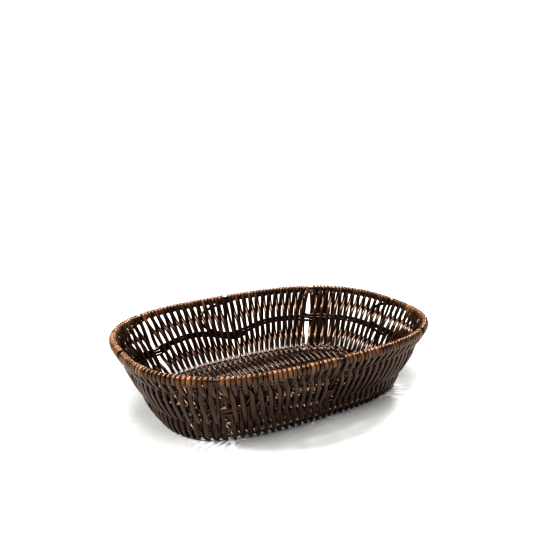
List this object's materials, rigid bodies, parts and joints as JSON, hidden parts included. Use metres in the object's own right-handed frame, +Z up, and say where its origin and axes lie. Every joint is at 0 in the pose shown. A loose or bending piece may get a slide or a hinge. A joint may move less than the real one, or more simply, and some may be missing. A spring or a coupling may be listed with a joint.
{
  "type": "woven fruit basket",
  "caption": "Shallow oval basket with a leaning wall and flat floor woven from dark glossy stems over rods, and a rim wound with the same stems, for fruit or bread.",
  "frame": {"origin": "on the ground under the middle of the basket", "axes": "+X along the basket's length, +Y across it, +Z up"},
  "size_m": [0.2984, 0.2148, 0.0676],
  "materials": {
    "strand": "glossy dark brown stem, lacquered",
    "rim_strand": "glossy copper brown stem, lacquered",
    "rod": "satin blackish brown stem"
  },
  "bodies": {
    "root": {"rim_rod_upper": "rod", "rim_rod_lower": "rod", "base_ring": "rod", "rim_wrap_1": "rim_strand", "wall_upper_1": "strand", "wall_lower_1": "strand", "hoop_strand_1": "rod", "upright_1": "rod", "rim_wrap_2": "rim_strand", "wall_upper_2": "strand", "wall_lower_2": "strand", "hoop_strand_2": "rod", "upright_2": "rod", "rim_wrap_3": "rim_strand", "wall_upper_3": "strand", "wall_lower_3": "strand", "hoop_strand_3": "rod", "upright_3": "rod", "rim_wrap_4": "rim_strand", "wall_upper_4": "strand", "wall_lower_4": "strand", "hoop_strand_4": "rod", "upright_4": "rod", "rim_wrap_5": "rim_strand", "wall_upper_5": "strand", "wall_lower_5": "strand", "hoop_strand_5": "rod", "upright_5": "rod", "rim_wrap_6": "rim_strand", "wall_upper_6": "strand", "wall_lower_6": "strand", "hoop_strand_6": "rod", "upright_6": "rod", "rim_wrap_7": "rim_strand", "wall_upper_7": "strand", "wall_lower_7": "strand", "hoop_strand_7": "rod", "upright_7": "rod", "rim_wrap_8": "rim_strand", "wall_upper_8": "strand", "wall_lower_8": "strand", "hoop_strand_8": "rod", "upright_8": "rod", "floor_wire_1": "rod", "floor_wire_2": "rod", "floor_wire_3": "rod", "floor_wire_4": "rod", "floor_strip_1": "strand", "floor_strip_2": "strand", "floor_strip_3": "strand", "floor_strip_4": "strand", "floor_strip_5": "strand"}
  },
  "joints": []
}
